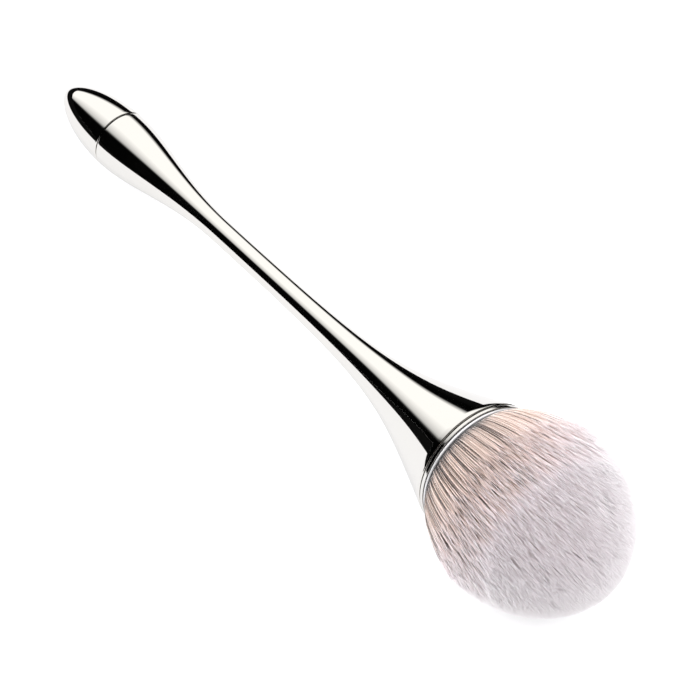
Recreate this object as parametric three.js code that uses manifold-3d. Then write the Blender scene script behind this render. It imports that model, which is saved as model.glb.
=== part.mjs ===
import * as THREE from 'three';
import { mergeVertices } from 'three/addons/utils/BufferGeometryUtils.js';
import Module from 'manifold-3d';

// Nail dust brush lying on a table: plated slim-waist handle, trim ring and a soft domed head.
// Millimetres. Along the brush, x runs from the tail seam to the bristle tips and r is the radius.

// Tail cap and handle
const knobDiameter = 14.7;
const capLength = 21.4;
const noseTaper = 1.2;
const handleLength = 134.8;
const shoulderLength = 39.2;
const shoulderFullness = 0.29;
const shoulderRun = 0.44;
const waistDiameter = 5.75;
const mouthDiameter = 32;
const flareAngle = 20.3;
const flareStraight = 0.65;
const flareRun = 0.33;
const mouthEdge = 0.3;
const mouthWall = 1.5;
const seamEdge = 0.25;
const spigotDiameter = 9;
const spigotLength = 6;

// Trim ring and ferrule cup
const ringProud = 0.25;
const ringThickness = 1;
const lipProud = 0.05;
const lipThickness = 0.55;
const lipWidth = 1;
const beadEdge = 0.25;
const cupDepth = 10;
const cupWall = 0.6;
const cupTaper = 21.8;

// Root plug, backing and bristle head
const plugThickness = 3;
const backingThickness = 1.5;
const headDiameter = 46.2;
const headRise = 14.9;
const domeLength = 27.3;
const lockRings = 9;
const lockDiameter = 0.66;
const tipShare = 0.88;
const rootDepth = 0.8;

// Fit and rest
const jointGap = 0.3;
const tableCut = 0.5;

// Fineness of the round shapes
const roundSides = 48;
const curveSteps = 16;
const edgeSteps = 3;
const lockSides = 3;
const lockSteps = 3;
const weldDistance = 1e-5;
const restSteps = 40;

const wasm = await Module();
wasm.setup();

const knobRadius = knobDiameter / 2;
const waistRadius = waistDiameter / 2;
const mouthRadius = mouthDiameter / 2;
const ringRadius = mouthRadius + ringProud;
const lipRadius = mouthRadius + lipProud;
const headRadius = headDiameter / 2;
const spigotRadius = spigotDiameter / 2;
const bulletLength = capLength - jointGap;
const mouthX = handleLength;
const floorX = mouthX - cupDepth;
const ringBackX = mouthX + jointGap;
const ringFrontX = ringBackX + ringThickness;
const lipBackX = ringFrontX + jointGap;
const lipFrontX = lipBackX + lipThickness;
const taper = Math.tan(THREE.MathUtils.degToRad(cupTaper));
const cupBackX = floorX + jointGap;
const cupFloorX = cupBackX + cupWall;
const plugBackX = cupFloorX + jointGap;
const plugFrontX = plugBackX + plugThickness;
const backingBackX = plugFrontX + jointGap;
const backingFrontX = backingBackX + backingThickness;
const widestX = lipFrontX + headRise;

// Inside of the handle's mouth, and of the cup set into it
const boreRadius = (x) => mouthRadius - mouthWall - taper * (mouthX - x);
const cupOuterRadius = (x) => boreRadius(x) - jointGap;
const cupInnerRadius = (x) => cupOuterRadius(x) - cupWall;

// Points of an arc in the (x, r) plane, angles in degrees from +x towards +r
function arc(centreX, centreR, radius, fromAngle, toAngle, steps) {
  const points = [];
  for (let i = 0; i <= steps; i += 1) {
    const angle = THREE.MathUtils.degToRad(fromAngle + ((toAngle - fromAngle) * i) / steps);
    points.push([centreX + radius * Math.cos(angle), centreR + radius * Math.sin(angle)]);
  }
  return points;
}

function bezier(...corners) {
  const curve = new THREE.CubicBezierCurve(...corners.map(([x, r]) => new THREE.Vector2(x, r)));
  return curve.getPoints(curveSteps).map((point) => [point.x, point.y]);
}

// One closed skin: shared corners joined, collapsed triangles at the axis left out
function welded(geometry) {
  const bare = new THREE.BufferGeometry();
  bare.setAttribute('position', geometry.getAttribute('position'));
  bare.setIndex(geometry.getIndex());
  const merged = mergeVertices(bare, weldDistance);
  const corners = merged.getIndex().array;
  const kept = [];
  for (let i = 0; i < corners.length; i += 3) {
    const [a, b, c] = corners.slice(i, i + 3);
    if (a !== b && b !== c && c !== a) {
      kept.push(a, b, c);
    }
  }
  merged.setIndex(kept);
  return merged;
}

// A profile of (x, r) pairs turned about the brush's axis
function turned(profile) {
  const points = profile.map(([x, r]) => new THREE.Vector2(r, x));
  const geometry = new THREE.LatheGeometry(points, roundSides);
  geometry.rotateZ(-Math.PI / 2);
  return welded(geometry);
}

function toManifold(geometry) {
  const vertProperties = new Float32Array(geometry.getAttribute('position').array);
  const triVerts = new Uint32Array(geometry.getIndex().array);
  return new wasm.Manifold(new wasm.Mesh({ numProp: 3, vertProperties, triVerts }));
}

function toGeometry(solid) {
  const mesh = solid.getMesh();
  const geometry = new THREE.BufferGeometry();
  geometry.setAttribute('position', new THREE.BufferAttribute(mesh.vertProperties, 3));
  geometry.setIndex(new THREE.BufferAttribute(mesh.triVerts, 1));
  return geometry;
}

// Bullet-shaped nose, a little slimmer towards its tip than half an ellipse
function noseOutline() {
  const points = [];
  for (let i = 0; i < curveSteps; i += 1) {
    const angle = (Math.PI / 2) * (i / curveSteps);
    points.push([-jointGap - bulletLength * Math.cos(angle), knobRadius * Math.sin(angle) ** noseTaper]);
  }
  return points;
}

// Tail cap: the nose, and the spigot that presses into the handle
function tailCap() {
  return turned([
    ...noseOutline(),
    [-jointGap - seamEdge, knobRadius],
    [-jointGap, knobRadius - seamEdge],
    [-jointGap, spigotRadius],
    [spigotLength - seamEdge, spigotRadius],
    [spigotLength, spigotRadius - seamEdge],
    [spigotLength, 0],
  ]);
}

// Slim-waist handle: socket at the tail, smooth shoulder, long neck, trumpet flare, tapered mouth
function handleBody() {
  const flareLength = mouthX - shoulderLength;
  const flareSlope = Math.tan(THREE.MathUtils.degToRad(flareAngle));
  const shoulder = bezier(
    [seamEdge, knobRadius],
    [shoulderLength * shoulderFullness, knobRadius],
    [shoulderLength * (1 - shoulderRun), waistRadius],
    [shoulderLength, waistRadius],
  );
  const flare = bezier(
    [shoulderLength, waistRadius],
    [shoulderLength + flareLength * flareStraight, waistRadius],
    [mouthX - flareLength * flareRun, mouthRadius - flareLength * flareRun * flareSlope],
    [mouthX - mouthEdge, mouthRadius],
  );
  const socketRadius = spigotRadius + jointGap;
  const socketDepth = spigotLength + jointGap;
  return turned([
    [socketDepth, 0],
    [socketDepth, socketRadius],
    [0, socketRadius],
    [0, knobRadius - seamEdge],
    ...shoulder,
    ...flare.slice(1),
    ...arc(mouthX - mouthEdge, mouthRadius - mouthEdge, mouthEdge, 90, 0, edgeSteps).slice(1),
    [mouthX, boreRadius(mouthX)],
    [floorX, boreRadius(floorX)],
    [floorX, 0],
  ]);
}

// Bright band between the handle's mouth and the cup's lip
function trimRing() {
  const innerRadius = cupOuterRadius(lipBackX) + jointGap;
  return turned([
    [ringBackX, innerRadius],
    ...arc(ringBackX + beadEdge, ringRadius - beadEdge, beadEdge, 180, 90, edgeSteps),
    ...arc(ringFrontX - beadEdge, ringRadius - beadEdge, beadEdge, 90, 0, edgeSteps),
    [ringFrontX, innerRadius],
    [ringBackX, innerRadius],
  ]);
}

// Tapered cup that holds the bristle roots, with a turned-out lip in front of the trim ring
function ferruleCup() {
  return turned([
    [cupBackX, 0],
    [cupBackX, cupOuterRadius(cupBackX)],
    [lipBackX, cupOuterRadius(lipBackX)],
    ...arc(lipBackX + beadEdge, lipRadius - beadEdge, beadEdge, 180, 90, edgeSteps),
    ...arc(lipFrontX - beadEdge, lipRadius - beadEdge, beadEdge, 90, 0, edgeSteps),
    [lipFrontX, lipRadius - lipWidth],
    [lipBackX, cupInnerRadius(lipBackX)],
    [cupFloorX, cupInnerRadius(cupFloorX)],
    [cupFloorX, 0],
  ]);
}

// Disc of set resin that holds the backing in the cup
function rootPlug() {
  return turned([
    [plugBackX, 0],
    [plugBackX, cupInnerRadius(plugBackX) - jointGap],
    [plugFrontX, cupInnerRadius(plugFrontX) - jointGap],
    [plugFrontX, 0],
  ]);
}

// How the head spreads: parallel to the cup's wall at the root, then opening out to its widest place
const backingRadius = cupInnerRadius(backingBackX) - jointGap;
const rootX = backingFrontX - rootDepth;
const lockRadius = lockDiameter / 2;
const rootRadius = backingRadius - jointGap - lockRadius;
const headRun = widestX - rootX;
const spreadRadius = headRadius / (1 + lockRadius / rootRadius);
const spreadCurve = (spreadRadius - rootRadius - taper * headRun) / headRun ** 2;

function headSpread(x) {
  const run = Math.min(x, widestX) - rootX;
  return rootRadius + taper * run + spreadCurve * run ** 2;
}

// A lock of bristles at a share of the head's radius: thicker as the head spreads, then in to a point
function bristleLock(share, around) {
  const tipX = widestX + domeLength * Math.sqrt(1 - (share * tipShare) ** 2);
  const bendAt = 1 - 1 / lockSteps;
  const geometry = new THREE.CylinderGeometry(1, 1, 1, lockSides, lockSteps, false, Math.PI / 2);
  const corners = geometry.getAttribute('position');
  for (let i = 0; i < corners.count; i += 1) {
    const along = corners.getY(i) + 0.5;
    const below = Math.min(along / bendAt, 1);
    const above = Math.max((along - bendAt) / (1 - bendAt), 0);
    const x = rootX + headRun * below + (tipX - widestX) * above;
    const spread = headSpread(x);
    const thickness = lockRadius * (spread / rootRadius) * (1 - above);
    const outward = share * spread * (1 - (1 - tipShare) * above) + corners.getX(i) * thickness;
    const sideways = corners.getZ(i) * thickness;
    const y = -outward * Math.sin(around) + sideways * Math.cos(around);
    const z = outward * Math.cos(around) + sideways * Math.sin(around);
    corners.setXYZ(i, x, y, z);
  }
  return toManifold(welded(geometry));
}

// A quarter of the backing disc, clear of its neighbours by half a gap on each straight side
function backingQuarter(facing) {
  const side = Math.PI / 4;
  const clear = jointGap / 2;
  const edgeAngle = side - Math.asin(clear / backingRadius);
  const shape = new THREE.Shape();
  shape.moveTo(clear / Math.sin(side), 0);
  shape.lineTo(backingRadius * Math.cos(edgeAngle), -backingRadius * Math.sin(edgeAngle));
  shape.absarc(0, 0, backingRadius, -edgeAngle, edgeAngle, false);
  shape.closePath();
  const geometry = new THREE.ExtrudeGeometry(shape, {
    depth: backingThickness,
    bevelEnabled: false,
    curveSegments: roundSides / 4,
  });
  const outward = new THREE.Vector3(0, -Math.sin(facing), Math.cos(facing));
  const sideways = new THREE.Vector3(0, -Math.cos(facing), -Math.sin(facing));
  const turn = new THREE.Matrix4().makeBasis(outward, sideways, new THREE.Vector3(1, 0, 0));
  geometry.applyMatrix4(turn);
  geometry.translate(backingBackX, 0, 0);
  return toManifold(welded(geometry));
}

// A quarter of the head: rings of locks fused to their slice of backing
function tuft(facing) {
  let solid = backingQuarter(facing);
  for (let ring = 1; ring <= lockRings; ring += 1) {
    const count = 2 * ring - 1;
    const share = (ring - 0.5) / (lockRings - 0.5);
    for (let i = 0; i < count; i += 1) {
      const around = facing + (Math.PI / 2) * ((i + 0.5) / count - 0.5);
      solid = solid.add(bristleLock(share, around));
    }
  }
  return solid;
}

// The rest: knob and bristle head both on the table, so the brush rises towards its head
let restAngle = 0;
let restHeight = knobRadius;
for (let i = 0; i < restSteps; i += 1) {
  const [sine, cosine] = [Math.sin(restAngle), Math.cos(restAngle)];
  restHeight = Math.max(...noseOutline().map(([x, r]) => r * cosine - x * sine));
  restAngle = Math.asin((headRadius * cosine - tableCut - restHeight) / widestX);
}

const brush = new THREE.Group();
brush.name = 'nail_dust_brush';
brush.rotation.y = -restAngle;
brush.position.z = restHeight;
brush.updateMatrixWorld(true);

// Bristles under the head are pressed flat where they meet the table
function pressedFlat(solid) {
  const reach = 2 * (handleLength + headDiameter);
  const table = new THREE.BoxGeometry(reach, reach, reach);
  table.translate(0, 0, -reach / 2);
  table.applyMatrix4(brush.matrixWorld.clone().invert());
  return solid.subtract(toManifold(welded(table)));
}

function addPiece(name, geometry, color, roughness, metalness) {
  geometry.computeVertexNormals();
  const material = new THREE.MeshStandardMaterial({ color, roughness, metalness });
  const mesh = new THREE.Mesh(geometry, material);
  mesh.name = name;
  brush.add(mesh);
}

const plateColor = 0xe3e2de;
const cupColor = 0xcfd0d2;
const resinColor = 0xcdbfa6;
const bristleColor = 0xd9cccd;

addPiece('tail_cap', tailCap(), plateColor, 0.06, 1);
addPiece('handle_body', handleBody(), plateColor, 0.06, 1);
addPiece('trim_ring', trimRing(), plateColor, 0.08, 1);
addPiece('ferrule_cup', ferruleCup(), cupColor, 0.18, 1);
addPiece('root_plug', rootPlug(), resinColor, 0.5, 0);
addPiece('tuft_upper', toGeometry(tuft(0)), bristleColor, 0.7, 0);
addPiece('tuft_right', toGeometry(tuft(Math.PI / 2)), bristleColor, 0.7, 0);
addPiece('tuft_lower', toGeometry(pressedFlat(tuft(Math.PI))), bristleColor, 0.7, 0);
addPiece('tuft_left', toGeometry(tuft(-Math.PI / 2)), bristleColor, 0.7, 0);

brush.updateMatrixWorld(true);
const box = new THREE.Box3().setFromObject(brush, true);
brush.position.x -= (box.min.x + box.max.x) / 2;
brush.position.z -= box.min.z;

export default brush;
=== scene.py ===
import math

import bpy
from mathutils import Matrix, Vector


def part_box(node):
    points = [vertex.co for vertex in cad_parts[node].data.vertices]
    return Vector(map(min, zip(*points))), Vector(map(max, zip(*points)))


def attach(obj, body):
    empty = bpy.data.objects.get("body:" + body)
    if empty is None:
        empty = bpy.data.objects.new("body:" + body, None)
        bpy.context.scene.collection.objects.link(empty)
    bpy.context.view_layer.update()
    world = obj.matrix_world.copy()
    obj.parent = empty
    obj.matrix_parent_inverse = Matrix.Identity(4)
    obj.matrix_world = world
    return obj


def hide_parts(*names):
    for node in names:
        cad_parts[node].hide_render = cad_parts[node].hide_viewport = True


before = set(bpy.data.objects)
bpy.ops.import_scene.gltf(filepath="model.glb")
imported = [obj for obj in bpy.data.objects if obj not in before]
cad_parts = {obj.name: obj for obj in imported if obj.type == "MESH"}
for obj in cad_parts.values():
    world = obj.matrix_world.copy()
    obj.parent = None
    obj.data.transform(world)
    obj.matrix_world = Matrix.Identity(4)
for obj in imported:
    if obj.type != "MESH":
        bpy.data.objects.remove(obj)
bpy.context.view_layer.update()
mm = 0.001
# sockets whose names repeat in their node: the colours of a Mix, and the ends and result of a float draw
mixA, mixB, mixResult = 6, 7, 2
drawLow, drawHigh, drawResult = 2, 3, 1


def linear(hexColour):
    # sRGB hex to the linear RGBA that Blender's sockets take
    parts = [int(hexColour[i:i + 2], 16) / 255 for i in (0, 2, 4)]
    return tuple(c / 12.92 if c <= 0.04045 else ((c + 0.055) / 1.055) ** 2.4 for c in parts) + (1.0,)


def addNode(tree, kind, links=None, **settings):
    # one node: its settings, then its inputs
    # an input takes a value, a socket, a node or the name of an earlier node
    node = tree.nodes.new(kind)
    for setting, value in settings.items():
        setattr(node, setting, value)
    for place, source in (links or {}).items():
        socket = node.inputs[place]
        if isinstance(source, str) and socket.type != "STRING":
            source = tree.nodes[source]
        if isinstance(source, bpy.types.Node):
            source = source.outputs[0]
        if isinstance(source, bpy.types.NodeSocket):
            tree.links.new(source, socket)
        else:
            socket.default_value = source
    return node


def newTree(name, inputs, output):
    # an empty geometry tree: each input is reached by its name through a reroute
    tree = bpy.data.node_groups.new(name, "GeometryNodeTree")
    for label, kind in inputs:
        tree.interface.new_socket(label, in_out="INPUT", socket_type="NodeSocket" + kind)
    tree.interface.new_socket(output, in_out="OUTPUT", socket_type="NodeSocketGeometry")
    given = addNode(tree, "NodeGroupInput").outputs
    for label, kind in inputs:
        addNode(tree, "NodeReroute", {0: given[label]}, name=label)
    return tree


# camera
viewSetup = {
    "azimuth": 52.56,        # degrees round from looking along +Y
    "elevation": 51.03,
    "distance": 1760 * mm,
    "lens": 398.5,           # long lens, so almost no perspective
    "sensor": 36,
    "aimAlong": 88.6 * mm,   # point of the brush's axis in the middle of the picture, from the tail seam
    "shiftX": -0.0008,
    "shiftY": -0.0008,
    "clip": (0.01, 50),
}

# sizes of the turned pieces, as in the solids but for a slimmer ring and lip and a wider seam at the mouth
brush = {
    "knobRadius": 7.35 * mm,
    "capLength": 21.4 * mm,
    "noseTaper": 1.2,
    "handleLength": 134.8 * mm,
    "shoulderLength": 39.2 * mm,
    "shoulderFullness": 0.29,
    "shoulderRun": 0.44,
    "waistRadius": 2.875 * mm,
    "mouthRadius": 16 * mm,
    "flareSlope": math.tan(math.radians(20.3)),
    "flareStraight": 0.65,
    "flareRun": 0.33,
    "mouthEdge": 0.3 * mm,
    "mouthWall": 1.5 * mm,
    "seamEdge": 0.25 * mm,
    "spigotRadius": 4.5 * mm,
    "spigotLength": 6 * mm,
    "ringProud": 0.1 * mm,
    "ringSeam": 0.45 * mm,
    "ringThickness": 1 * mm,
    "lipProud": 0.05 * mm,
    "lipThickness": 0.55 * mm,
    "lipWidth": 0.6 * mm,
    "beadEdge": 0.15 * mm,
    "cupDepth": 10 * mm,
    "cupWall": 0.6 * mm,
    "cupTaper": math.tan(math.radians(21.8)),
    "plugThickness": 3 * mm,
    "jointGap": 0.3 * mm,
    "headRadius": 23.1 * mm,
    "headRise": 14.9 * mm,
    "tableCut": 0.5 * mm,
}
# how fine the turned pieces are: steps of their curves, sides round them and what counts as an edge
fineness = {
    "restNose": 16,          # as coarse as the solids, so that the rest angle is theirs
    "restRounds": 40,
    "nose": 48,
    "curve": 64,
    "seamEdge": 5,
    "mouthEdge": 6,
    "beadEdge": 8,
    "creaseAngle": 0.5,      # radians between two faces, past which their edge stays crisp
    "weldDistance": 0.001 * mm,
    "sides": {"tailCap": 128, "handleBody": 160, "trimRing": 160, "ferruleCup": 160, "rootPlug": 96},
}
gap = brush["jointGap"]
mouthX = brush["handleLength"]
ringBackX = mouthX + brush["ringSeam"]
ringFrontX = mouthX + gap + brush["ringThickness"]
lipBackX = ringFrontX + gap
lipFrontX = lipBackX + brush["lipThickness"]
widestX = lipFrontX + brush["headRise"]
bulletLength = brush["capLength"] - gap


def noseOutline(steps):
    # bullet nose, a little slimmer towards its tip than half an ellipse
    angles = [math.pi / 2 * i / steps for i in range(steps)]
    return [(-gap - bulletLength * math.cos(a), brush["knobRadius"] * math.sin(a) ** brush["noseTaper"])
            for a in angles]


# the brush rests on knob and head, so its axis rises a little towards the bristles
restNose = noseOutline(fineness["restNose"])
restAngle = 0.0
for restRound in range(fineness["restRounds"]):
    sine, cosine = math.sin(restAngle), math.cos(restAngle)
    restHeight = max(r * cosine - x * sine for x, r in restNose)
    restAngle = math.asin((brush["headRadius"] * cosine - brush["tableCut"] - restHeight) / widestX)
tailReach = max(r * sine - x * cosine for x, r in restNose)
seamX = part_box("tail_cap")[0][0] + tailReach
layDown = Matrix.Translation((seamX, 0, restHeight)) @ Matrix.Rotation(-restAngle, 4, "Y")
print("rest angle", round(math.degrees(restAngle), 3), "seam at", round(seamX, 5))

cameraData = bpy.data.cameras.new("viewCamera")
camera = bpy.data.objects.new("viewCamera", cameraData)
bpy.context.scene.collection.objects.link(camera)
azimuth, elevation = math.radians(viewSetup["azimuth"]), math.radians(viewSetup["elevation"])
towardsCamera = Vector((math.sin(azimuth) * math.cos(elevation),
                        -math.cos(azimuth) * math.cos(elevation),
                        math.sin(elevation)))
aim = layDown @ Vector((viewSetup["aimAlong"], 0, 0))
camera.location = aim + towardsCamera * viewSetup["distance"]
camera.rotation_mode = "QUATERNION"
camera.rotation_quaternion = (-towardsCamera).to_track_quat("-Z", "Y")
cameraData.lens = viewSetup["lens"]
cameraData.sensor_width = viewSetup["sensor"]
cameraData.shift_x = viewSetup["shiftX"]
cameraData.shift_y = viewSetup["shiftY"]
cameraData.clip_start, cameraData.clip_end = viewSetup["clip"]
bpy.context.scene.camera = camera
bpy.context.scene.view_settings.view_transform = "Standard"
print("camera set")


# materials
def newMaterial(name):
    material = bpy.data.materials.new(name)
    material.use_nodes = True
    material.node_tree.nodes.clear()
    return material, material.node_tree


def setStops(ramp, stops):
    while len(ramp.color_ramp.elements) < len(stops):
        ramp.color_ramp.elements.new(0.5)
    for element, (place, colour) in zip(ramp.color_ramp.elements, stops):
        element.position = place
        element.color = colour


# bright nickel-chrome plating on moulded ABS: a mirror with the faint waviness of the moulding under it
plateFinish = {
    "colour": "e9e7e2",
    "smudgeSize": 9 * mm,
    "smudgeFrom": 0.35,      # levels of the noise at which the plating is clean and smudged
    "smudgeTo": 0.7,
    "roughLow": 0.015,
    "roughHigh": 0.05,
    "waveSize": 14 * mm,
    "waveDepth": 0.004 * mm,
    "waveStrength": 0.25,
}


def brightPlate():
    material, tree = newMaterial("chromePlatedAbs")
    place = addNode(tree, "ShaderNodeTexCoord").outputs["Object"]
    smudge = addNode(tree, "ShaderNodeTexNoise", {
        "Vector": place, "Scale": 1 / plateFinish["smudgeSize"], "Detail": 4.0, "Roughness": 0.6})
    rough = addNode(tree, "ShaderNodeMapRange", {
        "Value": smudge, "From Min": plateFinish["smudgeFrom"], "From Max": plateFinish["smudgeTo"],
        "To Min": plateFinish["roughLow"], "To Max": plateFinish["roughHigh"]})
    wave = addNode(tree, "ShaderNodeTexNoise", {
        "Vector": place, "Scale": 1 / plateFinish["waveSize"], "Detail": 1.0})
    bump = addNode(tree, "ShaderNodeBump", {
        "Height": wave, "Strength": plateFinish["waveStrength"], "Distance": plateFinish["waveDepth"]})
    shader = addNode(tree, "ShaderNodeBsdfPrincipled", {
        "Base Color": linear(plateFinish["colour"]), "Metallic": 1.0, "Roughness": rough, "Normal": bump})
    addNode(tree, "ShaderNodeOutputMaterial", {"Surface": shader})
    return material


# drawn aluminium of the cup under a pale matt lacquer, with fine rings left by the drawing tool
cupFinish = {
    "colour": "d6d5d6",
    "roughLow": 0.34,
    "roughHigh": 0.46,
    "ringPitch": 0.4 * mm,
    "ringWaver": 100 / 3 * mm,   # distance over which a ring changes on its way round
}


def drawnAluminium():
    material, tree = newMaterial("drawnAluminium")
    place = addNode(tree, "ShaderNodeTexCoord").outputs["Object"]
    along, around = 1 / cupFinish["ringPitch"], 1 / cupFinish["ringWaver"]
    drawnOut = addNode(tree, "ShaderNodeMapping", {"Vector": place, "Scale": (along, around, around)})
    rings = addNode(tree, "ShaderNodeTexNoise", {"Vector": drawnOut, "Scale": 1.0, "Detail": 2.0})
    rough = addNode(tree, "ShaderNodeMapRange", {
        "Value": rings, "To Min": cupFinish["roughLow"], "To Max": cupFinish["roughHigh"]})
    shader = addNode(tree, "ShaderNodeBsdfPrincipled", {
        "Base Color": linear(cupFinish["colour"]), "Metallic": 0.5, "Roughness": rough})
    addNode(tree, "ShaderNodeOutputMaterial", {"Surface": shader})
    return material


# cast epoxy in the bottom of the cup: honey-coloured, glossy, slightly cloudy
resinFinish = {"clear": "d6c8ab", "cloudy": "c2b28f", "cloudSize": 3 * mm}


def castResin():
    material, tree = newMaterial("castEpoxy")
    place = addNode(tree, "ShaderNodeTexCoord").outputs["Object"]
    cloud = addNode(tree, "ShaderNodeTexNoise", {
        "Vector": place, "Scale": 1 / resinFinish["cloudSize"], "Detail": 3.0})
    colour = addNode(tree, "ShaderNodeMix", {
        0: cloud, mixA: linear(resinFinish["clear"]), mixB: linear(resinFinish["cloudy"])}, data_type="RGBA")
    shader = addNode(tree, "ShaderNodeBsdfPrincipled", {
        "Base Color": colour.outputs[mixResult], "Roughness": 0.35, "IOR": 1.55})
    addNode(tree, "ShaderNodeOutputMaterial", {"Surface": shader})
    return material


# fine PBT filament with a dipped tip: painted shadow of the lip at the root, then beige-pink, and
# lavender-white at the tip; dark hairs among the pale ones are painted shade of the gaps between locks, thin
# dark lines that lighten only at their ends
hairFinish = {
    # the first stop is painted shadow of the lip on the roots, the rest is the dye
    "stops": ((0.0, "1c1416"), (0.15, "ceb2a5"), (0.35, "e0c5bc"), (0.55, "f0dcdc"), (0.75, "f4e6ec"),
              (1.0, "faf4f8")),
    # low tints are painted shade of the gaps between locks, high ones the pale hairs' own uneven tone
    "tintStops": ((0.0, 0.06), (0.25, 0.36), (0.42, 0.92), (0.7, 0.97), (1.0, 1.0)),
    "tintCast": (1.0, 0.88, 0.88),     # the painted gap shade of the dark hairs is a little brown
    "clearBody": 0.45,                 # share of the light that goes through the fibre
    "clearTip": 0.85,
    "clearFrom": 0.45,                 # places along the dye between which it gets clearer
    "clearTo": 0.9,
    "clearDepth": 1.5 * mm,
    "clearSpread": (1.0, 0.9, 0.9),
}


def dippedFilament():
    material, tree = newMaterial("pbtFilament")
    uv = addNode(tree, "ShaderNodeUVMap", uv_map="OFBake")
    split = addNode(tree, "ShaderNodeSeparateXYZ", {0: uv}).outputs
    along = addNode(tree, "ShaderNodeValToRGB", {"Fac": split["Y"]})
    setStops(along, [(place, linear(colour)) for place, colour in hairFinish["stops"]])
    tint = addNode(tree, "ShaderNodeValToRGB", {"Fac": split["X"]})
    setStops(tint, [(place, tuple(level * part ** (1 - level) for part in hairFinish["tintCast"]) + (1,))
                    for place, level in hairFinish["tintStops"]])
    colour = addNode(tree, "ShaderNodeMix", {0: 1.0, mixA: along, mixB: tint},
                     data_type="RGBA", blend_type="MULTIPLY")
    clear = addNode(tree, "ShaderNodeMapRange", {
        "Value": split["Y"], "From Min": hairFinish["clearFrom"], "From Max": hairFinish["clearTo"],
        "To Min": hairFinish["clearBody"], "To Max": hairFinish["clearTip"]})
    shader = addNode(tree, "ShaderNodeBsdfPrincipled", {
        "Base Color": colour.outputs[mixResult], "Roughness": 0.5, "IOR": 1.5, "Specular IOR Level": 0.25,
        "Sheen Weight": 0.3, "Sheen Roughness": 0.4, "Subsurface Weight": clear,
        "Subsurface Scale": hairFinish["clearDepth"], "Subsurface Radius": hairFinish["clearSpread"]})
    addNode(tree, "ShaderNodeOutputMaterial", {"Surface": shader})
    return material


plate, aluminium, resin, filament = brightPlate(), drawnAluminium(), castResin(), dippedFilament()
print("materials made")


# turned pieces
def arc(centreX, centreR, radius, fromAngle, toAngle, steps):
    angles = [math.radians(fromAngle + (toAngle - fromAngle) * i / steps) for i in range(steps + 1)]
    return [(centreX + radius * math.cos(a), centreR + radius * math.sin(a)) for a in angles]


def bezier(a, b, c, d, steps):
    points = []
    for i in range(steps + 1):
        t = i / steps
        u = 1 - t
        points.append(tuple(u ** 3 * a[k] + 3 * u * u * t * b[k] + 3 * u * t * t * c[k] + t ** 3 * d[k]
                            for k in (0, 1)))
    return points


def boreRadius(x):
    return brush["mouthRadius"] - brush["mouthWall"] - brush["cupTaper"] * (mouthX - x)


def cupOuter(x):
    return boreRadius(x) - gap


def cupInner(x):
    return cupOuter(x) - brush["cupWall"]


def latheTree():
    # a profile's points, one row each, turned once round the X axis
    tree = newTree("turnedPiece", (
        ("Profile", "Geometry"), ("Sides", "Int"), ("Finish", "Material")), "Piece")
    rows = addNode(tree, "GeometryNodeAttributeDomainSize", {0: "Profile"}, component="MESH")
    addNode(tree, "GeometryNodeInputIndex", name="index")
    for name, operation, *terms in (
            ("columns", "ADD", "Sides", 1.0),
            ("rowPlace", "DIVIDE", "index", "columns"),
            ("row", "FLOOR", "rowPlace"),
            ("column", "MODULO", "index", "columns"),
            ("turnShare", "DIVIDE", "column", "Sides"),
            ("turn", "MULTIPLY", "turnShare", math.tau),
            ("sine", "SINE", "turn"),
            ("cosine", "COSINE", "turn")):
        addNode(tree, "ShaderNodeMath", dict(enumerate(terms)), name=name, operation=operation)
    grid = addNode(tree, "GeometryNodeMeshGrid", {
        "Vertices X": rows.outputs["Point Count"], "Vertices Y": "columns"})
    spot = addNode(tree, "GeometryNodeSampleIndex", {
        0: "Profile", "Value": addNode(tree, "GeometryNodeInputPosition"), "Index": "row"},
        data_type="FLOAT_VECTOR")
    part = addNode(tree, "ShaderNodeSeparateXYZ", {0: spot}).outputs
    across = addNode(tree, "ShaderNodeMath", {0: part["Z"], 1: "sine"}, operation="MULTIPLY")
    upwards = addNode(tree, "ShaderNodeMath", {0: part["Z"], 1: "cosine"}, operation="MULTIPLY")
    place = addNode(tree, "ShaderNodeCombineXYZ", {0: part["X"], 1: across, 2: upwards})
    shaped = addNode(tree, "GeometryNodeSetPosition", {"Geometry": grid, "Position": place})
    closed = addNode(tree, "GeometryNodeMergeByDistance", {
        "Geometry": shaped, "Distance": fineness["weldDistance"]})
    smooth = addNode(tree, "GeometryNodeSetShadeSmooth", {
        "Geometry": closed, "Shade Smooth": True}, domain="FACE")
    crease = addNode(tree, "FunctionNodeCompare", {
        0: addNode(tree, "GeometryNodeInputMeshEdgeAngle"), 1: fineness["creaseAngle"]},
        data_type="FLOAT", operation="GREATER_THAN")
    crisp = addNode(tree, "GeometryNodeSetShadeSmooth", {
        "Geometry": smooth, "Selection": crease, "Shade Smooth": False}, domain="EDGE")
    real = addNode(tree, "GeometryNodeRealizeInstances", {0: crisp})
    dressed = addNode(tree, "GeometryNodeSetMaterial", {"Geometry": real, "Material": "Finish"})
    addNode(tree, "NodeGroupOutput", {0: dressed})
    return tree


def runTree(name, baseMesh, tree, values):
    # builds a piece from a tree: inputs by socket identifier, result as a plain mesh laid in place
    base = bpy.data.objects.new(name + "Base", baseMesh)
    bpy.context.scene.collection.objects.link(base)
    modifier = base.modifiers.new("build", "NODES")
    modifier.node_group = tree
    for item in tree.interface.items_tree:
        if item.in_out == "INPUT" and item.name in values:
            modifier[item.identifier] = values[item.name]
    graph = bpy.context.evaluated_depsgraph_get()
    graph.update()
    mesh = bpy.data.meshes.new_from_object(
        base.evaluated_get(graph), preserve_all_data_layers=True, depsgraph=graph)
    base.modifiers.clear()
    bpy.data.objects.remove(base)
    mesh.name = name
    mesh.transform(layDown)
    piece = bpy.data.objects.new(name, mesh)
    bpy.context.scene.collection.objects.link(piece)
    return piece


turnedTree = latheTree()


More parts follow.
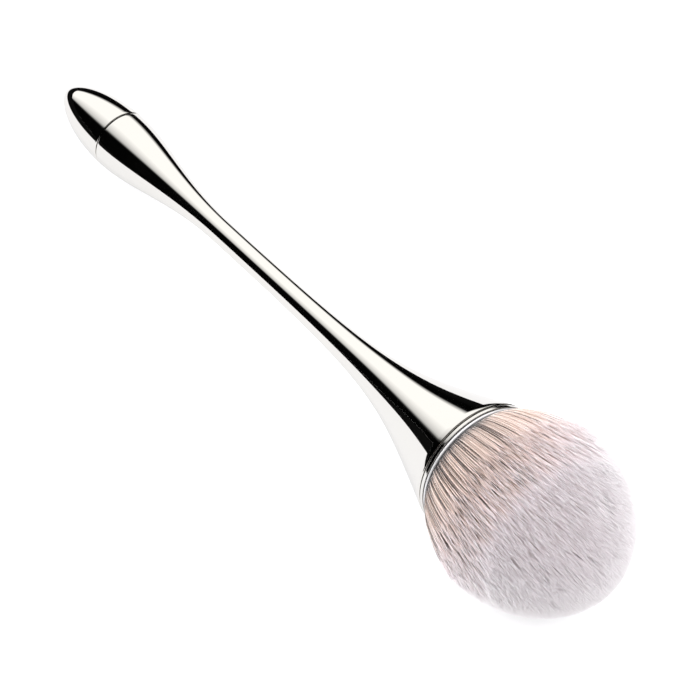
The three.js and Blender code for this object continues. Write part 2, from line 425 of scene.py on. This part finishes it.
def turnedPiece(name, profile, finish, node):
    mesh = bpy.data.meshes.new(name + "Profile")
    mesh.from_pydata([(x, 0, r) for x, r in profile], [(i, i + 1) for i in range(len(profile) - 1)], [])
    piece = runTree(name, mesh, turnedTree, {"Sides": fineness["sides"][name], "Finish": finish})
    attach(piece, "root")
    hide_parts(node)
    print(name, len(piece.data.polygons), "faces")


def tailCap():
    edge = brush["seamEdge"]
    profile = noseOutline(fineness["nose"])
    profile += arc(-gap - edge, brush["knobRadius"] - edge, edge, 90, 0, fineness["seamEdge"])
    profile += [(-gap, brush["spigotRadius"]),
                (brush["spigotLength"] - edge, brush["spigotRadius"]),
                (brush["spigotLength"], brush["spigotRadius"] - edge),
                (brush["spigotLength"], 0)]
    turnedPiece("tailCap", profile, plate, "tail_cap")


def handleBody():
    edge, rim = brush["seamEdge"], brush["mouthEdge"]
    waistX = brush["shoulderLength"]
    flareLength = mouthX - waistX
    knob, waist, mouth = brush["knobRadius"], brush["waistRadius"], brush["mouthRadius"]
    run = flareLength * brush["flareRun"]
    shoulder = bezier((edge, knob), (waistX * brush["shoulderFullness"], knob),
                      (waistX * (1 - brush["shoulderRun"]), waist), (waistX, waist), fineness["curve"])
    flare = bezier((waistX, waist), (waistX + flareLength * brush["flareStraight"], waist),
                   (mouthX - run, mouth - run * brush["flareSlope"]), (mouthX - rim, mouth),
                   fineness["curve"])
    socket = brush["spigotRadius"] + gap
    depth = brush["spigotLength"] + gap
    floorX = mouthX - brush["cupDepth"]
    profile = [(depth, 0), (depth, socket), (0, socket)]
    profile += arc(edge, knob - edge, edge, 180, 90, fineness["seamEdge"])[:-1] + shoulder + flare[1:]
    profile += arc(mouthX - rim, mouth - rim, rim, 90, 0, fineness["mouthEdge"])[1:]
    profile += [(mouthX, boreRadius(mouthX)), (floorX, boreRadius(floorX)), (floorX, 0)]
    turnedPiece("handleBody", profile, plate, "handle_body")


def beadArcs(backX, frontX, outer):
    # rounded outside of the ring and of the lip
    edge, steps = brush["beadEdge"], fineness["beadEdge"]
    return (arc(backX + edge, outer - edge, edge, 180, 90, steps)
            + arc(frontX - edge, outer - edge, edge, 90, 0, steps))


def trimRing():
    inner = cupOuter(lipBackX) + gap
    profile = [(ringBackX, inner)]
    profile += beadArcs(ringBackX, ringFrontX, brush["mouthRadius"] + brush["ringProud"])
    profile += [(ringFrontX, inner), (ringBackX, inner)]
    turnedPiece("trimRing", profile, plate, "trim_ring")


def ferruleCup():
    outer = brush["mouthRadius"] + brush["lipProud"]
    backX = mouthX - brush["cupDepth"] + gap
    floorX = backX + brush["cupWall"]
    profile = [(backX, 0), (backX, cupOuter(backX)), (lipBackX, cupOuter(lipBackX))]
    profile += beadArcs(lipBackX, lipFrontX, outer)
    profile += [(lipFrontX, outer - brush["lipWidth"]), (lipBackX, cupInner(lipBackX)),
                (floorX, cupInner(floorX)), (floorX, 0)]
    turnedPiece("ferruleCup", profile, aluminium, "ferrule_cup")


def rootPlug():
    backX = mouthX - brush["cupDepth"] + gap + brush["cupWall"] + gap
    frontX = backX + brush["plugThickness"]
    profile = [(backX, 0), (backX, cupInner(backX) - gap), (frontX, cupInner(frontX) - gap), (frontX, 0)]
    turnedPiece("rootPlug", profile, resin, "root_plug")


tailCap()
handleBody()
trimRing()
ferruleCup()
rootPlug()

# bristle head; a pair of numbers is the slope and the start of a straight line
bristleHead = {
    "rootX": 130 * mm,
    "rootRadius": 10.7 * mm,
    "lipRadius": 15.35 * mm,
    "widestRadius": 22.9 * mm,
    "dome": 29.4 * mm,           # a little past the solids, for the loose tips
    "puff": 0.6,                 # below 1 the hairs swell out over the lip before they run straight
    "strandSides": 3,
    "tipRadius": 0.02 * mm,
    "tipPower": 8.0,             # the higher, the later a hair gets thin
    "trimPower": 2.2,            # above 1 most hairs end close under the dome
    "frontRough": (-0.7, 1.0),   # tips are trimmed more evenly towards the front
    "sleekRough": (0.9, 0.1),    # and most evenly on the sleek side
    "lumps": 0.02,               # slow waver of the trimmed length
    "lumpScale": 1.6,            # wavers across the head's radius
    "lumpFrom": 0.55,            # level of the noise below which the dome dips
    "locks": 72.0,               # locks across the head's radius
    "strayPull": 0.07 * mm,
    "tableClear": 0.15 * mm,
    "goldenTurn": 0.6180339887,  # of a quarter, from one strand to the next, so that they spread evenly
    "seed": 7,
    "seedStride": 10000.0,       # more than a piece's strands, so that no two pieces share their draws
    # dark hairs: painted shade of the gaps between locks
    "sleekFrom": -0.15,          # the +Y side, where the light falls, lies sleek, with no painted gap shade
    "sleekTo": 0.25,             # both are sines of the angle from the top
    "lockStretch": 0.14,         # cells of one tint are long from middle to rim: their width to their length
    "tintFineness": 1.5,         # cells of one tint to a lock
    "tintScatter": 0.7,
    "frontPale": (-1.2, 1.0),    # share of painted-shade hairs falls towards the front
    "rise": (4.0, 0.6),          # and at the rim
    "riseMost": 1.3,
    "cellPale": (0.3, 0.55),     # tint of the pale hairs of a cell
    "tipFrom": 0.99,             # past this share of its length a painted-shade hair lightens, out of the gap
    "tipKeeps": (0.75, 0.25),    # and keeps a quarter of its painted shade
    "sideTint": 0.05,            # change of tint round a strand
    # dye along a hair, with painted shadow at the root and painted light towards the limbs
    "rootShadow": 1.3 * mm,        # painted shadow: dark length past the lip, most of it behind the swell
    "rootShade": 7 * mm,         # length of painted shade past that
    "shadeStretch": (1.2, 0.25),  # uneven from cell to cell
    "bodyDye": 0.15,
    "dip": 14 * mm,              # pale length at the tip
    "dipStretch": (-0.65, 1.0),  # painted limb light: about a third of it on the near side, all of it towards the limbs
    "dipDraw": (1.2, 0.4),       # uneven from cell to cell
    "nearSide": math.radians(27.9),  # middle of the near side, from the top towards -Y
    "rimDye": (-0.5, 0.7),       # how pale the tips get at the rim: dye, with painted light that makes them paler away from the near side
    "paleCap": 0.45,             # past about this share of the dome the tips are fully pale
    "capDraw": (0.4, -0.2),      # uneven from cell to cell
    "capDye": 0.85,
}
# strands in each quarter: the cover makes the sides of the head, and the dense core its front
hairLayers = {
    "Cover": {"Strands": 2500, "Points": 8, "Spacing": 1.2, "Fill From": 0.48, "Fill To": 1.0,
              "Strand Radius": 0.11 * mm, "Shortest": 0.16, "Lock Pull": 0.2, "Dark Share": 0.38},
    "Core": {"Strands": 7000, "Points": 4, "Spacing": 0.3, "Fill From": 0.0, "Fill To": 0.56,
             "Strand Radius": 0.1 * mm, "Shortest": 0.08, "Lock Pull": 0.1, "Dark Share": 0.3},
}
quarters = (("Upper", "tuft_upper"), ("Right", "tuft_right"), ("Lower", "tuft_lower"), ("Left", "tuft_left"))


def bristleTree():
    head = bristleHead
    tree = newTree("bristleQuarter", (
        ("Base", "Geometry"), ("Strands", "Int"), ("Points", "Int"), ("Spacing", "Float"),
        ("Facing", "Float"), ("Seed", "Int"), ("Dip", "Float"), ("Pale Cap", "Float"),
        ("Root Shade", "Float"), ("Root Dark", "Float"), ("Fill From", "Float"), ("Fill To", "Float"),
        ("Root X", "Float"), ("Lip X", "Float"), ("Widest X", "Float"), ("Dome", "Float"),
        ("Root Radius", "Float"), ("Lip Radius", "Float"), ("Widest Radius", "Float"), ("Puff", "Float"),
        ("Strand Radius", "Float"), ("Tip Radius", "Float"), ("Shortest", "Float"), ("Lumps", "Float"),
        ("Near Side", "Float"), ("Locks", "Float"), ("Lock Pull", "Float"), ("Stray Pull", "Float"),
        ("Dark Share", "Float"), ("Sleek From", "Float"), ("Sleek To", "Float"), ("Table Drop", "Float"),
        ("Table Slope", "Float"), ("Finish", "Material")), "Tuft")
    addNode(tree, "GeometryNodeInputIndex", name="index")

    # strands are rows of points: root, lip, then steps out to the tip, spaced by a power
    for name, operation, *terms in (
            ("count", "MULTIPLY", "Strands", "Points"),
            ("pastIndex", "ADD", "index", 0.5),
            ("rowPlace", "DIVIDE", "pastIndex", "Points"),
            ("strand", "FLOOR", "rowPlace"),
            ("rowStart", "MULTIPLY", "strand", "Points"),
            ("step", "SUBTRACT", "index", "rowStart"),
            ("inside", "MINIMUM", "step", 1.0),
            ("pastLip", "SUBTRACT", "step", "inside"),
            ("segments", "SUBTRACT", "Points", 2.0),
            ("evenShare", "DIVIDE", "pastLip", "segments"),
            ("outside", "POWER", "evenShare", "Spacing"),
            ("identity", "MULTIPLY_ADD", "Seed", head["seedStride"], "strand")):
        addNode(tree, "ShaderNodeMath", dict(enumerate(terms)), name=name, operation=operation)
    # each strand's own draws, between a low and a high
    for draw, (name, low, high) in enumerate((
            ("jitter", 0.1, 0.9), ("drift", -0.3, 0.3), ("trim", 0.0, 1.0), ("ownShade", -0.12, 0.12),
            ("strayX", -1.0, 1.0), ("strayY", -1.0, 1.0), ("strayZ", -1.0, 1.0), ("darkShade", 0.0, 0.12),
            ("ownDraw", -0.2, 0.2))):
        dice = addNode(tree, "FunctionNodeRandomValue", {
            drawLow: low, drawHigh: high, "ID": "identity", "Seed": draw}, data_type="FLOAT")
        addNode(tree, "NodeReroute", {0: dice.outputs[drawResult]}, name=name)

    # where each strand stands: an even spiral over the quarter of a unit disc, with a little scatter
    for name, operation, *terms in (
            ("rank", "ADD", "strand", "jitter"),
            ("evenFill", "DIVIDE", "rank", "Strands"),
            ("fillRun", "SUBTRACT", "Fill To", "Fill From"),
            ("fill", "MULTIPLY_ADD", "evenFill", "fillRun", "Fill From"),
            ("share", "SQRT", "fill"),
            ("spiral", "ADD", "strand", "drift"),
            ("turns", "MULTIPLY", "spiral", head["goldenTurn"]),
            ("sweep", "FRACT", "turns"),
            ("swing", "SUBTRACT", "sweep", 0.5),
            ("around", "MULTIPLY_ADD", "swing", math.pi / 2, "Facing"),
            ("sine", "SINE", "around"),
            ("wayY", "MULTIPLY", "sine", -1.0),
            ("wayZ", "COSINE", "around"),
            ("rootY", "MULTIPLY", "wayY", "share"),
            ("rootZ", "MULTIPLY", "wayZ", "share")):
        addNode(tree, "ShaderNodeMath", dict(enumerate(terms)), name=name, operation=operation)
    root = addNode(tree, "ShaderNodeCombineXYZ", {0: 0.0, 1: "rootY", 2: "rootZ"})
    addNode(tree, "ShaderNodeTexNoise", {"Vector": root, "Scale": head["lumpScale"], "Detail": 1.0},
            name="waver")
    lock = addNode(tree, "ShaderNodeTexVoronoi", {"Vector": root, "Scale": "Locks"}).outputs["Position"]
    lock = addNode(tree, "ShaderNodeSeparateXYZ", {0: lock}).outputs
    addNode(tree, "NodeReroute", {0: lock["Y"]}, name="lockY")
    addNode(tree, "NodeReroute", {0: lock["Z"]}, name="lockZ")
    addNode(tree, "ShaderNodeMapRange", {"Value": "sine", "From Min": "Sleek From", "From Max": "Sleek To"},
            name="streaky")
    # a second set of cells, drawn out from the middle to the rim: hairs of one cell share their tint, their
    # painted gap shade and the length of their painted root shadow
    addNode(tree, "ShaderNodeMath", {0: "share", 1: head["lockStretch"]}, operation="MULTIPLY",
            name="drawnOut")
    addNode(tree, "ShaderNodeMath", {0: "Locks", 1: head["tintFineness"]}, operation="MULTIPLY",
            name="tintLocks")
    polar = addNode(tree, "ShaderNodeCombineXYZ", {0: "drawnOut", 1: "around"})
    cell = addNode(tree, "ShaderNodeTexVoronoi", {
        "Vector": polar, "Scale": "tintLocks", "Randomness": head["tintScatter"]}).outputs["Color"]
    cell = addNode(tree, "ShaderNodeSeparateXYZ", {0: cell}).outputs
    for name, socket in (("cellDark", cell["X"]), ("cellShade", cell["Y"]), ("cellRoot", cell["Z"])):
        addNode(tree, "NodeReroute", {0: socket}, name=name)

    for name, operation, *terms in (
            # painted shade: dark hairs stand for the shadowed gaps between locks, fewer towards the front and
            # none on the sleek side, where the light falls
            ("level", "SUBTRACT", 1.0, "fill"),
            ("frontPale", "MULTIPLY_ADD", "level", *head["frontPale"]),
            ("rise", "MULTIPLY_ADD", "level", *head["rise"]),
            ("riseMost", "MINIMUM", "rise", head["riseMost"]),
            ("darkLevel", "MULTIPLY", "riseMost", "frontPale"),
            ("darkHere", "MULTIPLY", "Dark Share", "darkLevel"),
            ("darkLimit", "MULTIPLY", "darkHere", "streaky"),
            ("darkDraw", "ADD", "cellDark", "ownDraw"),
            ("dark", "LESS_THAN", "darkDraw", "darkLimit"),
            ("cellPale", "MULTIPLY_ADD", "cellShade", *head["cellPale"]),
            ("paleShade", "ADD", "cellPale", "ownShade"),
            ("beforeTip", "LESS_THAN", "outside", head["tipFrom"]),
            ("tipKeeps", "MULTIPLY_ADD", "beforeTip", *head["tipKeeps"]),
            ("darkPart", "MULTIPLY", "dark", "tipKeeps"),
            ("darker", "SUBTRACT", "darkShade", "paleShade"),
            ("shade", "MULTIPLY_ADD", "darkPart", "darker", "paleShade"),
            # tips are spread evenly over a dome that wavers a little, and most hairs stop short of it
            ("tipX", "MULTIPLY_ADD", "Dome", "level", "Widest X"),
            ("levelSquare", "MULTIPLY", "level", "level"),
            ("rimSquare", "SUBTRACT", 1.0, "levelSquare"),
            ("rim", "SQRT", "rimSquare"),
            ("tipOut", "MULTIPLY", "Widest Radius", "rim"),
            ("hollow", "SUBTRACT", head["lumpFrom"], "waver"),
            ("hollowOnly", "MAXIMUM", "hollow", 0.0),
            ("lump", "MULTIPLY", "hollowOnly", "Lumps"),
            ("sleekRough", "MULTIPLY_ADD", "streaky", *head["sleekRough"]),
            ("frontRough", "MULTIPLY_ADD", "level", *head["frontRough"]),
            ("rough", "MULTIPLY", "sleekRough", "frontRough"),
            ("most", "MULTIPLY", "rough", "Shortest"),
            ("uneven", "POWER", "trim", head["trimPower"]),
            ("short", "MULTIPLY_ADD", "uneven", "most", "lump"),
            ("kept", "SUBTRACT", 1.0, "short"),
            ("reach", "MULTIPLY", "outside", "kept"),
            # along the axis, then outwards: a swell over the lip and a straight fan to the tip
            ("cupRun", "SUBTRACT", "Lip X", "Root X"),
            ("cupX", "MULTIPLY_ADD", "inside", "cupRun", "Root X"),
            ("run", "SUBTRACT", "tipX", "Lip X"),
            ("x", "MULTIPLY_ADD", "reach", "run", "cupX"),
            ("cupSpread", "SUBTRACT", "Lip Radius", "Root Radius"),
            ("cupRadius", "MULTIPLY_ADD", "inside", "cupSpread", "Root Radius"),
            ("neck", "MULTIPLY", "share", "cupRadius"),
            ("lipOut", "MULTIPLY", "share", "Lip Radius"),
            ("fan", "SUBTRACT", "tipOut", "lipOut"),
            ("swell", "POWER", "reach", "Puff"),
            ("out", "MULTIPLY_ADD", "fan", "swell", "neck"),
            # along most of the way hairs lean together into locks, and part again at the soft tips
            ("twice", "MULTIPLY_ADD", "outside", 2.0, -1.0),
            ("twiceSquare", "MULTIPLY", "twice", "twice"),
            ("fourth", "MULTIPLY", "twiceSquare", "twiceSquare"),
            ("middle", "SUBTRACT", 1.0, "fourth"),
            ("lockHere", "MULTIPLY", "Lock Pull", "sleekRough"),
            ("lean", "MULTIPLY", "middle", "lockHere"),
            ("widen", "DIVIDE", "out", "share"),
            ("pull", "MULTIPLY", "lean", "widen"),
            ("apartY", "SUBTRACT", "lockY", "rootY"),
            ("apartZ", "SUBTRACT", "lockZ", "rootZ"),
            ("leanY", "MULTIPLY", "apartY", "pull"),
            ("leanZ", "MULTIPLY", "apartZ", "pull"),
            ("spotY", "MULTIPLY_ADD", "wayY", "out", "leanY"),
            ("spotZ", "MULTIPLY_ADD", "wayZ", "out", "leanZ"),
            # single hairs stray towards the tips, and none goes through the table
            ("loose", "MULTIPLY", "outside", "outside"),
            ("strayHere", "MULTIPLY", "Stray Pull", "sleekRough"),
            ("strayBy", "MULTIPLY", "loose", "strayHere"),
            ("placeX", "MULTIPLY_ADD", "strayX", "strayBy", "x"),
            ("placeY", "MULTIPLY_ADD", "strayY", "strayBy", "spotY"),
            ("strayedZ", "MULTIPLY_ADD", "strayZ", "strayBy", "spotZ"),
            ("table", "MULTIPLY_ADD", "x", "Table Slope", "Table Drop"),
            ("placeZ", "MAXIMUM", "strayedZ", "table"),
            # thin, thinner still at the tip
            ("pointed", "POWER", "outside", head["tipPower"]),
            ("slim", "SUBTRACT", 1.0, "pointed"),
            ("taper", "SUBTRACT", "Strand Radius", "Tip Radius"),
            ("thickness", "MULTIPLY_ADD", "slim", "taper", "Tip Radius"),
            # place in the dye: painted shadow of the lip at the root, shorter on the sleek side, a plain
            # body, then the pale dip counted from the tip, stretched by painted light towards the limbs
            ("fromLip", "SUBTRACT", "x", "Lip X"),
            ("fromShade", "SUBTRACT", "fromLip", "Root Dark"),
            ("outOfCup", "MAXIMUM", "fromShade", 0.0),
            ("rootDraw", "MULTIPLY", "cellRoot", "cellRoot"),
            ("shadeStretch", "MULTIPLY_ADD", "rootDraw", *head["shadeStretch"]),
            ("shadeHere", "MULTIPLY", "shadeStretch", "sleekRough"),
            ("shadeRun", "MULTIPLY", "Root Shade", "shadeHere"),
            ("shadeShare", "DIVIDE", "outOfCup", "shadeRun"),
            ("lit", "MINIMUM", "shadeShare", 1.0),
            ("left", "SUBTRACT", 1.0, "outside"),
            ("toTip", "MULTIPLY", "left", "run"),
            # painted light: away from the near side the pale dip is longer and the rim tips paler
            ("offNear", "SUBTRACT", "around", "Near Side"),
            ("facing", "COSINE", "offNear"),
            ("near", "MAXIMUM", "facing", 0.0),
            ("dipStretch", "MULTIPLY_ADD", "near", *head["dipStretch"]),
            ("dipDraw", "MULTIPLY_ADD", "cellShade", *head["dipDraw"]),
            ("dipUneven", "MULTIPLY", "dipStretch", "dipDraw"),
            ("dipHere", "MULTIPLY", "Dip", "dipUneven"),
            ("dipShare", "DIVIDE", "toTip", "dipHere"),
            ("dipLeft", "SUBTRACT", 1.0, "dipShare"),
            ("dipped", "MAXIMUM", "dipLeft", 0.0),
            ("capDraw", "MULTIPLY_ADD", "cellRoot", *head["capDraw"]),
            ("capLevel", "ADD", "level", "capDraw"),
            ("capShare", "DIVIDE", "capLevel", "Pale Cap"),
            ("capMost", "MINIMUM", "capShare", 1.0),
            ("inCap", "MAXIMUM", "capMost", 0.0),
            ("rimDye", "MULTIPLY_ADD", "near", *head["rimDye"]),
            ("capMore", "SUBTRACT", head["capDye"], "rimDye"),
            ("tipDye", "MULTIPLY_ADD", "inCap", "capMore", "rimDye"),
            ("dye", "MULTIPLY_ADD", "dipped", "tipDye", head["bodyDye"]),
            ("along", "MULTIPLY", "dye", "lit")):
        addNode(tree, "ShaderNodeMath", dict(enumerate(terms)), name=name, operation=operation)

    # one curve a strand, then a thin tube round it that carries tint and place along in its map
    cloud = addNode(tree, "GeometryNodePoints", {"Count": "count"})
    hair = addNode(tree, "GeometryNodePointsToCurves", {
        "Points": cloud, "Curve Group ID": "strand", "Weight": "step"})
    spot = addNode(tree, "ShaderNodeCombineXYZ", {0: "placeX", 1: "placeY", 2: "placeZ"})
    hair = addNode(tree, "GeometryNodeSetPosition", {"Geometry": hair, "Position": spot})
    hair = addNode(tree, "GeometryNodeSetCurveRadius", {"Curve": hair, "Radius": "thickness"})
    for name in ("shade", "along"):
        hair = addNode(tree, "GeometryNodeStoreNamedAttribute", {
            "Geometry": hair, "Name": name, "Value": name}, data_type="FLOAT", domain="POINT")
    section = addNode(tree, "GeometryNodeCurvePrimitiveCircle", {
        "Resolution": head["strandSides"], "Radius": 1.0}, mode="RADIUS")
    corner = addNode(tree, "ShaderNodeMath", {0: "index", 1: head["strandSides"]}, operation="DIVIDE")
    section = addNode(tree, "GeometryNodeStoreNamedAttribute", {
        "Geometry": section, "Name": "corner", "Value": corner}, data_type="FLOAT", domain="POINT")
    tube = addNode(tree, "GeometryNodeCurveToMesh", {
        "Curve": hair, "Profile Curve": section, "Fill Caps": True,
        "Scale": addNode(tree, "GeometryNodeInputRadius")})
    tint, place, corner = (
        addNode(tree, "GeometryNodeInputNamedAttribute", {"Name": name}, data_type="FLOAT")
        for name in ("shade", "along", "corner"))
    mapU = addNode(tree, "ShaderNodeMath", {0: corner, 1: head["sideTint"], 2: tint},
                   operation="MULTIPLY_ADD")
    mapSpot = addNode(tree, "ShaderNodeCombineXYZ", {0: mapU, 1: place})
    tube = addNode(tree, "GeometryNodeStoreNamedAttribute", {
        "Geometry": tube, "Name": "OFBake", "Value": mapSpot}, data_type="FLOAT2", domain="CORNER")
    smooth = addNode(tree, "GeometryNodeSetShadeSmooth", {
        "Geometry": tube, "Shade Smooth": True}, domain="FACE")
    real = addNode(tree, "GeometryNodeRealizeInstances", {0: smooth})
    dressed = addNode(tree, "GeometryNodeSetMaterial", {"Geometry": real, "Material": "Finish"})
    addNode(tree, "NodeGroupOutput", {0: dressed})
    return tree


headTree = bristleTree()
headValues = {
    "Root X": bristleHead["rootX"], "Lip X": lipFrontX, "Widest X": widestX, "Dome": bristleHead["dome"],
    "Root Radius": bristleHead["rootRadius"], "Lip Radius": bristleHead["lipRadius"],
    "Widest Radius": bristleHead["widestRadius"], "Puff": bristleHead["puff"],
    "Tip Radius": bristleHead["tipRadius"], "Lumps": bristleHead["lumps"], "Locks": bristleHead["locks"],
    "Dip": bristleHead["dip"], "Pale Cap": bristleHead["paleCap"],
    "Root Shade": bristleHead["rootShade"], "Root Dark": bristleHead["rootShadow"],
    "Near Side": bristleHead["nearSide"], "Stray Pull": bristleHead["strayPull"],
    "Sleek From": bristleHead["sleekFrom"], "Sleek To": bristleHead["sleekTo"],
    "Table Drop": (bristleHead["tableClear"] - restHeight) / math.cos(restAngle),
    "Table Slope": -math.tan(restAngle), "Finish": filament,
}
for turn, (quarter, node) in enumerate(quarters):
    for layer, (label, values) in enumerate(hairLayers.items()):
        name = "bristles" + quarter + label
        own = {"Facing": turn * math.pi / 2, "Seed": bristleHead["seed"] + len(quarters) * layer + turn}
        piece = runTree(name, bpy.data.meshes.new(name + "Seed"), headTree, headValues | values | own)
        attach(piece, "root")
        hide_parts(node)
        print(name, len(piece.data.polygons), "faces", [uv.name for uv in piece.data.uv_layers])

# floor and light
studio = {
    "floorSize": 6.0,
    "floorColour": "b8b8ba",    # as seen by the camera, with the glow on top
    "floorMirror": "868689",    # as seen in the plating, with its own glow
    "floorBounce": "e6e6e6",    # as it lights the brush
    "floorGlow": 0.6,           # for the camera
    "floorMirrored": 0.56,      # for the plating
    "feltColour": "070707",
    "feltHeight": 0.2 * mm,
    "sheetTurn": 13.5,          # the white sheet that the plating mirrors lies a little askew, in degrees
    "sheetEnd": -120 * mm,      # it ends just past the tail
    "sheetFar": 140 * mm,       # and beyond the far side, with dark felt past its edges
    "ambient": 0.95,
    "skyEndLift": 0.27,         # the overhead light reaches lower past the ends of the brush
    # degrees from overhead, + towards +Y, and the light's strength there
    "skyStops": ((50.5, 0.001), (41.5, 1.24), (-3, 1.24), (-15, 1.0), (-26.5, 0.72), (-31, 0.36),
                 (-33.5, 0.07), (-37, 0.001)),
    "skyFar": ((0.6, 0.75), (0.9, 1.0)),   # slant along the brush, and share of the +Y angle that counts
    "skyTint": (1.0, 0.995, 0.985),
    "skyEnd": (-0.22, -0.06),   # towards the bristles the mirrored sky gets dark, which draws the edges
    "lamps": (("keySoftbox", (0.42, 0.08, 0.9), 14.0), ("fillSoftbox", (-0.7, -0.55, 0.5), 9.5)),
    "lampSize": 0.8,
}


def flatSheet(name, low, high, height, material):
    mesh = bpy.data.meshes.new(name)
    mesh.from_pydata([(low[0], low[1], height), (high[0], low[1], height), (high[0], high[1], height),
                      (low[0], high[1], height)], [], [(0, 1, 2, 3)])
    mesh.materials.append(material)
    sheet = bpy.data.objects.new(name, mesh)
    bpy.context.scene.collection.objects.link(sheet)
    return sheet


def paperSweep():
    material, tree = newMaterial("paperSweep")
    path = addNode(tree, "ShaderNodeLightPath").outputs
    direct = addNode(tree, "ShaderNodeMath", {0: path["Is Camera Ray"], 1: path["Is Transmission Ray"]},
                     operation="MAXIMUM")
    plain = addNode(tree, "ShaderNodeMath", {0: direct, 1: studio["floorGlow"]}, operation="MULTIPLY")
    level = addNode(tree, "ShaderNodeMath", {
        0: path["Is Glossy Ray"], 1: studio["floorMirrored"], 2: plain}, operation="MULTIPLY_ADD")
    glow = addNode(tree, "ShaderNodeEmission", {"Color": linear("ffffff"), "Strength": level})
    colour = addNode(tree, "ShaderNodeMix", {
        0: direct, mixA: linear(studio["floorBounce"]), mixB: linear(studio["floorColour"])},
        data_type="RGBA")
    colour = addNode(tree, "ShaderNodeMix", {
        0: path["Is Glossy Ray"], mixA: colour.outputs[mixResult], mixB: linear(studio["floorMirror"])},
        data_type="RGBA")
    paper = addNode(tree, "ShaderNodeBsdfDiffuse", {"Color": colour.outputs[mixResult]})
    shader = addNode(tree, "ShaderNodeAddShader", {0: glow, 1: paper})
    addNode(tree, "ShaderNodeOutputMaterial", {"Surface": shader})
    return material


def blackFelt():
    material, tree = newMaterial("blackFelt")
    felt = addNode(tree, "ShaderNodeBsdfDiffuse", {"Color": linear(studio["feltColour"])})
    addNode(tree, "ShaderNodeOutputMaterial", {"Surface": felt})
    return material


reach = studio["floorSize"] / 2
flatSheet("floor", (-reach, -reach), (reach, reach), 0, paperSweep())
felt = blackFelt()
for name, low, high in (("darkFlagEnd", (-reach, -reach), (studio["sheetEnd"], reach)),
                        ("darkFlagFar", (studio["sheetEnd"], studio["sheetFar"]), (reach, reach))):
    flag = flatSheet(name, low, high, studio["feltHeight"], felt)
    flag.data.transform(Matrix.Rotation(math.radians(studio["sheetTurn"]), 4, "Z"))
    flag.visible_camera = False      # only the plating's reflections see the dark edges
    flag.visible_diffuse = False
    flag.visible_shadow = False
    flag.visible_transmission = False


def studioSky():
    # a long soft light over the brush, bright on the +Y side and fading towards -Y
    world = bpy.data.worlds.new("studioSky")
    world.use_nodes = True
    bpy.context.scene.world = world
    tree = world.node_tree
    tree.nodes.clear()
    toSky = addNode(tree, "ShaderNodeTexCoord").outputs["Generated"]
    way = addNode(tree, "ShaderNodeSeparateXYZ", {0: toSky}).outputs
    slant = addNode(tree, "ShaderNodeMath", {0: way["X"]}, operation="ABSOLUTE")
    lift = addNode(tree, "ShaderNodeMath", {0: slant, 1: studio["skyEndLift"], 2: way["Z"]},
                   operation="MULTIPLY_ADD")
    lean = addNode(tree, "ShaderNodeMath", {0: way["Y"], 1: lift}, operation="ARCTAN2")
    (slantLow, shareLow), (slantHigh, shareHigh) = studio["skyFar"]
    share = addNode(tree, "ShaderNodeMapRange", {
        "Value": slant, "From Min": slantLow, "From Max": slantHigh, "To Min": shareLow, "To Max": shareHigh})
    eased = addNode(tree, "ShaderNodeMath", {0: lean, 1: share}, operation="MULTIPLY")
    angle = addNode(tree, "ShaderNodeMath", {0: lean, 1: eased}, operation="MINIMUM")
    place = addNode(tree, "ShaderNodeMapRange", {
        "Value": angle, "From Min": math.pi / 2, "From Max": -math.pi / 2})
    ramp = addNode(tree, "ShaderNodeValToRGB", {"Fac": place})
    setStops(ramp, [(0.5 - degrees / 180, tuple(level * part for part in studio["skyTint"]) + (1,))
                    for degrees, level in studio["skyStops"]])
    path = addNode(tree, "ShaderNodeLightPath").outputs
    endFrom, endTo = studio["skyEnd"]
    ending = addNode(tree, "ShaderNodeMapRange", {
        "Value": way["X"], "From Min": endFrom, "From Max": endTo, "To Min": 1.0, "To Max": 0.0})
    mirrored = addNode(tree, "ShaderNodeBackground", {"Color": ramp, "Strength": ending})
    soft = addNode(tree, "ShaderNodeBackground", {"Color": linear("ffffff"), "Strength": studio["ambient"]})
    white = addNode(tree, "ShaderNodeBackground", {"Color": linear("ffffff"), "Strength": 1.0})
    lit = addNode(tree, "ShaderNodeMixShader", {0: path["Is Glossy Ray"], 1: soft, 2: mirrored})
    seen = addNode(tree, "ShaderNodeMixShader", {0: path["Is Camera Ray"], 1: lit, 2: white})
    addNode(tree, "ShaderNodeOutputWorld", {"Surface": seen})


def softbox(name, offset, power):
    data = bpy.data.lights.new(name, "AREA")
    data.shape = "SQUARE"
    data.size = studio["lampSize"]
    data.energy = power
    lamp = bpy.data.objects.new(name, data)
    lamp.location = aim + Vector(offset)
    lamp.rotation_mode = "QUATERNION"
    lamp.rotation_quaternion = (-Vector(offset)).to_track_quat("-Z", "Y")
    lamp.visible_glossy = False      # the plating mirrors the sky's long light instead
    bpy.context.scene.collection.objects.link(lamp)


studioSky()
for name, offset, power in studio["lamps"]:
    softbox(name, offset, power)
print("stage lit")
